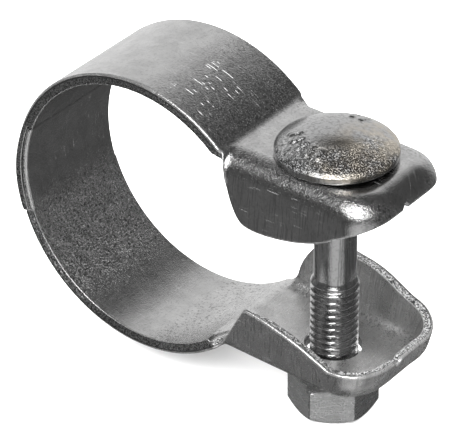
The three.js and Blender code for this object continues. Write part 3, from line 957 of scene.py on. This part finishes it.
def shell_places(n, sheet, solid):
    """Where the pressed shell has which skin, and where its ring has painted shade, each between 0 and 1."""
    run, across = n.split(sheet)
    x, y, up = n.split(solid, "XYZ")
    aside = n.maths("ABSOLUTE", across)
    on_ear = n.remap(run, 0.0, 0.003)
    upper = n.remap(up, 0.0, 0.002)
    tray = n.maths("MULTIPLY", on_ear, n.remap(up, -0.005, -0.008))
    on_crown = window(n, run, -0.0125, -0.005, 0.001)
    scratched = n.maths("MULTIPLY", on_crown, window(n, across, -0.0095, 0.003, 0.001))
    return SimpleNamespace(
        on_ear=on_ear,
        flange=n.maths("MULTIPLY", on_ear, n.remap(aside, 0.0095, 0.0125)),
        by_valley=window(n, run, -0.013, 0.001, 0.0025),
        by_fold=n.maths("MULTIPLY", on_ear, window(n, aside, 0.0075, 0.0105, 0.0012)),
        low_back=n.maths("MULTIPLY", n.remap(up, -0.003, -0.011), n.remap(x, -0.007, -0.014)),
        tray=n.maths("MULTIPLY", tray, n.remap(y, -0.0103, -0.0093, 0.3, 1.0)),
        # painted shade: the upper shell's ring within about 10 mm of the valley, to be darkened in colour
        painted_shade_by_valley=n.maths("MULTIPLY", window(n, run, -0.0105, 0.0005, 0.0030), upper),
        scratched=n.maths("MULTIPLY", scratched, upper),
    )


def shell_marks(n, sheet, scratched, sheared):
    """Faint slanting hairs all over the sheet and bright scratches on the ring, none on sheared edges."""
    run, across = n.split(sheet)
    hair = dashes(n, sheet, 4.0, 0.15, 0.9, 0.66, 3.0)
    patchy = n.remap(n.noise(sheet, 1 / (2.4 * MM), 1.0), 0.46, 0.54)
    rolled = n.maths("MULTIPLY", hairlines(n, run, across, 0.42, 2.2, 0.57), patchy)
    marks = n.maths("MAXIMUM", n.maths("MULTIPLY", hair, 0.3), n.maths("MULTIPLY", rolled, scratched))
    return n.maths("MULTIPLY", marks, n.remap(sheared, 0.2, 0.1))


def shell_colour(n, solid, place, skin):
    """Metal colour of the skin, with painted shade on the ring by the valley, and of the sheared edges:
    smooth where cut, mottled where broken.
    """
    pits = n.noise(solid, 1 / (0.45 * MM), 2.0, 0.6)
    blotch = n.noise(solid, 1 / (2.6 * MM), 3.0, 0.55)
    base = n.mix(n.remap(blotch, 0.3, 0.7), grey(0.56, 0.004), grey(0.66, 0.004))
    pitted = n.maths("MULTIPLY", n.remap(pits, 0.52, 0.64), n.remap(skin.rough, 0, 1, 0.15, 0.6))
    base = n.mix(pitted, base, grey(0.16))
    brushed = n.maths("MULTIPLY", n.remap(skin.strokes, 0.52, 0.62, 0, 0.5), place.flange)
    base = n.mix(brushed, base, grey(0.30))
    # painted shade on the upper ring by the valley: the colour is pulled towards dark grey there
    base = n.mix(n.maths("MULTIPLY", place.painted_shade_by_valley, 0.4), base, grey(0.30))
    base = n.mix(skin.marks, base, grey(0.98))
    mottled = n.mix(n.remap(skin.fracture, 0.42, 0.60), grey(0.12), grey(0.70))
    return n.mix(skin.is_edge, base, n.mix(skin.broken, grey(0.26), mottled))


def shell_steel():
    """Bright pressed steel: fine speckle, drawing strokes across the sheet, scratches, broken cut edges."""
    material, n = new_material("shell_steel")
    sheet = n.add("ShaderNodeUVMap", uv_map="sheet")
    solid = n.add("ShaderNodeTexCoord", output="Object")
    sheared = n.add("ShaderNodeAttribute", output="Fac", attribute_name="sheared")
    place = shell_places(n, sheet, solid)
    skin = SimpleNamespace(
        rough=n.maths("MAXIMUM", n.maths("MAXIMUM", place.by_valley, place.by_fold), place.low_back),
        strokes=n.noise(n.stretch(sheet, (1 / (0.25 * MM), 1 / (5.0 * MM), 1)), 1.0, 3.0, 0.6),
        fracture=n.noise(solid, 1 / (0.28 * MM), 2.0, 0.7),
        marks=shell_marks(n, sheet, place.scratched, sheared),
        is_edge=n.remap(sheared, 0.3, 0.45),
        broken=n.remap(sheared, 0.6, 0.9),
    )
    speckle = n.noise(solid, 1 / (0.22 * MM), 2.0, 0.6)
    grains = n.noise(solid, 1 / (0.19 * MM), 1.0, 0.5)
    wave = n.noise(solid, 1 / (6.0 * MM), 1.0, 0.4)

    roughness = n.remap(weighted(n, (speckle, 0.5), (skin.strokes, 0.5)), 0.35, 0.65, 0.13, 0.25)
    roughness = n.maths("ADD", roughness, weighted(n, (skin.broken, 0.1), (place.tray, 0.12)))
    grit = weighted(n, (skin.rough, 34.0), (place.by_fold, 26.0), (1.0, 20.0))
    lines = n.maths("ADD", n.maths("MULTIPLY", place.flange, 22.0), 12.0)
    torn = n.maths("MULTIPLY", skin.fracture, skin.broken)
    height = weighted(n, (speckle, grit), (skin.strokes, lines), (wave, 40.0), (torn, 100.0))
    speckled = weighted(n, (place.by_valley, 0.45), (place.by_fold, 0.4), (place.low_back, 1.4))
    lit = n.maths("MULTIPLY", n.remap(grains, 0.55, 0.64), speckled)
    torn_on_ear = n.maths("MULTIPLY", skin.broken, place.on_ear)
    gleam = n.maths("MULTIPLY", n.remap(skin.fracture, 0.45, 0.65), torn_on_ear)
    rim = window(n, sheared, 0.15, 0.35, 0.05)
    dull = weighted(n, (lit, 0.16), (place.tray, 0.06), (skin.marks, 0.35), (gleam, 0.34), (rim, 0.08))
    return finish_metal(material, n, shell_colour(n, solid, place, skin), roughness, height, dull)


def bolt_steel():
    """Zinc-plated bolt: forged speckle on the head and drawn streaks down the shank."""
    material, n = new_material("bolt_steel")
    solid = n.add("ShaderNodeTexCoord", output="Object")
    x, y, up = n.split(solid, "XYZ")
    low_head = window(n, up, (HEAD_TOP - 3.2) * MM, (HEAD_TOP - 0.6) * MM, 0.0003)
    side = weighted(n, (x, 0.6), (y, -0.8), (-0.6 * BOLT_X * MM, 1.0))
    low_head = n.maths("MULTIPLY", low_head, n.remap(side, -0.0015, 0.0015))
    speckle = n.noise(solid, 1 / (0.26 * MM), 3.0, 0.65)
    grains = n.noise(solid, 1 / (0.2 * MM), 1.0, 0.5)
    pits = n.noise(solid, 1 / (0.5 * MM), 2.0, 0.6)
    blotch = n.noise(solid, 1 / (3.5 * MM), 3.0, 0.6)
    streaks = n.noise(n.stretch(solid, (1 / (0.5 * MM), 1 / (0.5 * MM), 1 / (9 * MM))), 1.0, 2.0, 0.6)
    far_side = n.remap(x, BOLT_X * MM - 0.002, BOLT_X * MM + 0.005)
    # a warm tint in blotches over the head's +X side, above 18 mm
    warm_blotch = n.maths("MULTIPLY", n.remap(blotch, 0.3, 0.6), far_side)
    base = n.mix(n.remap(up, HEAD_SEAT * MM, (HEAD_SEAT + 0.5) * MM), grey(0.63), grey(0.53))
    base = n.mix(n.remap(streaks, 0.50, 0.62, 0, 0.45), base, grey(0.22))
    pitted = n.maths("MULTIPLY", n.remap(pits, 0.51, 0.62), n.remap(low_head, 0, 1, 0.12, 0.85))
    base = n.mix(pitted, base, grey(0.12))
    base = n.mix(n.maths("MULTIPLY", warm_blotch, n.remap(up, 0.018, 0.019)), base, (0.58, 0.53, 0.455))
    rough = n.remap(weighted(n, (speckle, 0.6), (streaks, 0.4)), 0.35, 0.65, 0.11, 0.22)
    wave = n.noise(solid, 1 / (3.2 * MM), 2.0, 0.5)
    grit = n.maths("ADD", n.maths("MULTIPLY", low_head, 62.0), 26.0)
    height = weighted(n, (speckle, grit), (streaks, 26.0), (wave, 40.0))
    lit = n.maths("MULTIPLY", n.remap(grains, 0.55, 0.63), low_head)
    dull = weighted(n, (lit, 0.26), (n.remap(grains, 0.5, 0.66), 0.02))
    return finish_metal(material, n, base, rough, height, dull)


def nut_steel():
    """Zinc-plated nut: finer grain, faint drawing lines along its faces."""
    material, n = new_material("nut_steel")
    solid = n.add("ShaderNodeTexCoord", output="Object")
    speckle = n.noise(solid, 1 / (0.24 * MM), 3.0, 0.6)
    blotch = n.noise(solid, 1 / (2.0 * MM), 3.0, 0.6)
    streaks = n.noise(n.stretch(solid, (1 / (3 * MM), 1 / (3 * MM), 1 / (0.3 * MM))), 1.0, 2.0, 0.6)
    base = n.mix(n.remap(blotch, 0.3, 0.7), grey(0.51), grey(0.60))
    base = n.mix(n.remap(speckle, 0.55, 0.70, 0, 0.5), base, grey(0.28))
    rough = n.remap(weighted(n, (speckle, 0.5), (streaks, 0.5)), 0.35, 0.65, 0.22, 0.38)
    height = weighted(n, (speckle, 34.0), (streaks, 10.0), (blotch, 30.0))
    return finish_metal(material, n, base, rough, height, n.remap(speckle, 0.35, 0.6, 0.05, 0.0))


# ---- Studio ----
def floor():
    size = 4.0
    z = CAD_BOX[0][2] - 0.0001
    mesh = bpy.data.meshes.new("studio_floor")
    corners = [(-size, -size, z), (size, -size, z), (size, size, z), (-size, size, z)]
    mesh.from_pydata(corners, [], [(0, 1, 2, 3)])
    obj = bpy.data.objects.new("studio_floor", mesh)
    bpy.context.collection.objects.link(obj)
    material, n = new_material("floor_paint")
    shade = n.noise(n.add("ShaderNodeTexCoord", output="Object"), 3.0, 2.0)
    colour = n.mix(n.remap(shade, 0.3, 0.7), grey(0.90), grey(0.92))
    shader = n.tree.nodes["Principled BSDF"]
    n.tree.links.new(colour, shader.inputs["Base Color"])
    shader.inputs["Roughness"].default_value = 0.9
    shader.inputs["Specular IOR Level"].default_value = 0.1
    mesh.materials.append(material)
    obj.visible_glossy = False


def area_light(name, location, size, power, mirrored=True, target=(0.008, 0, 0)):
    light = bpy.data.lights.new(name, "AREA")
    light.shape = "RECTANGLE"
    light.size, light.size_y = size
    light.energy = power
    obj = bpy.data.objects.new(name, light)
    obj.location = location
    aim = Vector(target) - Vector(location)
    obj.rotation_euler = aim.to_track_quat("-Z", "Y").to_euler()
    obj.visible_glossy = mirrored
    obj.visible_camera = False
    bpy.context.collection.objects.link(obj)


def studio_world():
    """A dim room with broad bright walls, each (direction, full within, gone beyond, level) in degrees."""
    world = bpy.data.worlds.new("studio")
    bpy.context.scene.world = world
    world.use_nodes = True
    n = Nodes(world.node_tree)
    direction = n.add("ShaderNodeTexCoord", output="Generated")

    def lobe(axis, full, gone, level):
        near = n.add("ShaderNodeVectorMath", {0: direction, 1: Vector(axis).normalized()}, output=1,
                     operation="DOT_PRODUCT")
        return n.remap(near, math.cos(math.radians(gone)), math.cos(math.radians(full)), 0, level)

    _, _, rise = n.split(direction, "XYZ")
    wall = n.maths("MULTIPLY", lobe((-0.60, 0.78, 0.15), 39, 51, 0.70), n.remap(rise, 0.78, 0.61))
    total = n.maths("ADD", wall, 0.078)
    for values in (
        ((-0.95, 0.20, -0.15), 20, 45, 0.16),
        ((0.56, -0.63, -0.54), 18, 38, 0.50),
        ((-0.50, -0.53, -0.66), 24, 50, 0.055),
        ((0.50, 0.67, -0.54), 14, 34, 0.02),
        ((0.18, -0.64, 0.75), 10, 17, 6.0),
        ((0.43, -0.70, 0.54), 13, 22, 4.0),
        ((-0.15, -0.60, 0.78), 8, 16, 0.45),
    ):
        total = n.maths("ADD", lobe(*values), total)
    background = world.node_tree.nodes["Background"]
    world.node_tree.links.new(total, background.inputs["Color"])
    background.inputs["Strength"].default_value = 1.0


def camera():
    data = bpy.data.cameras.new("photo_camera")
    data.sensor_width = 36.0
    data.lens = 241.6
    data.clip_start = 0.01
    data.dof.use_dof = False
    obj = bpy.data.objects.new("photo_camera", data)
    right = Vector((0.79716, 0.60374, -0.00593))
    up = Vector((-0.32409, 0.43616, 0.83948))
    back = Vector((0.50942, -0.66728, 0.54336))
    obj.matrix_world = Matrix.Translation((0.259145, -0.326625, 0.262908)) @ Matrix(
        (right, up, back)).transposed().to_4x4()
    bpy.context.collection.objects.link(obj)
    bpy.context.scene.camera = obj


# ---- Assembly ----
def put(obj, material, node):
    """Gives a piece its material and lets it stand for the CAD node, whose body has the same name."""
    obj.data.materials.clear()
    obj.data.materials.append(material)
    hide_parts(node)
    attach(obj, node)


steel = shell_steel()
put(upper_shell(), steel, "upper_shell")
put(lower_shell(), steel, "lower_shell")
put(coach_bolt(), bolt_steel(), "coach_bolt")
put(hex_nut(), nut_steel(), "hex_nut")

floor()
studio_world()
area_light("key", (-0.5, -0.5, 0.9), (1.6, 1.6), 42, mirrored=False)
area_light("fill", (0.7, -0.5, 0.9), (1.6, 1.6), 37, mirrored=False)
area_light("rear", (0.1, 0.9, 0.9), (1.6, 1.6), 40, mirrored=False)
camera()
bpy.context.scene.view_settings.view_transform = "Standard"
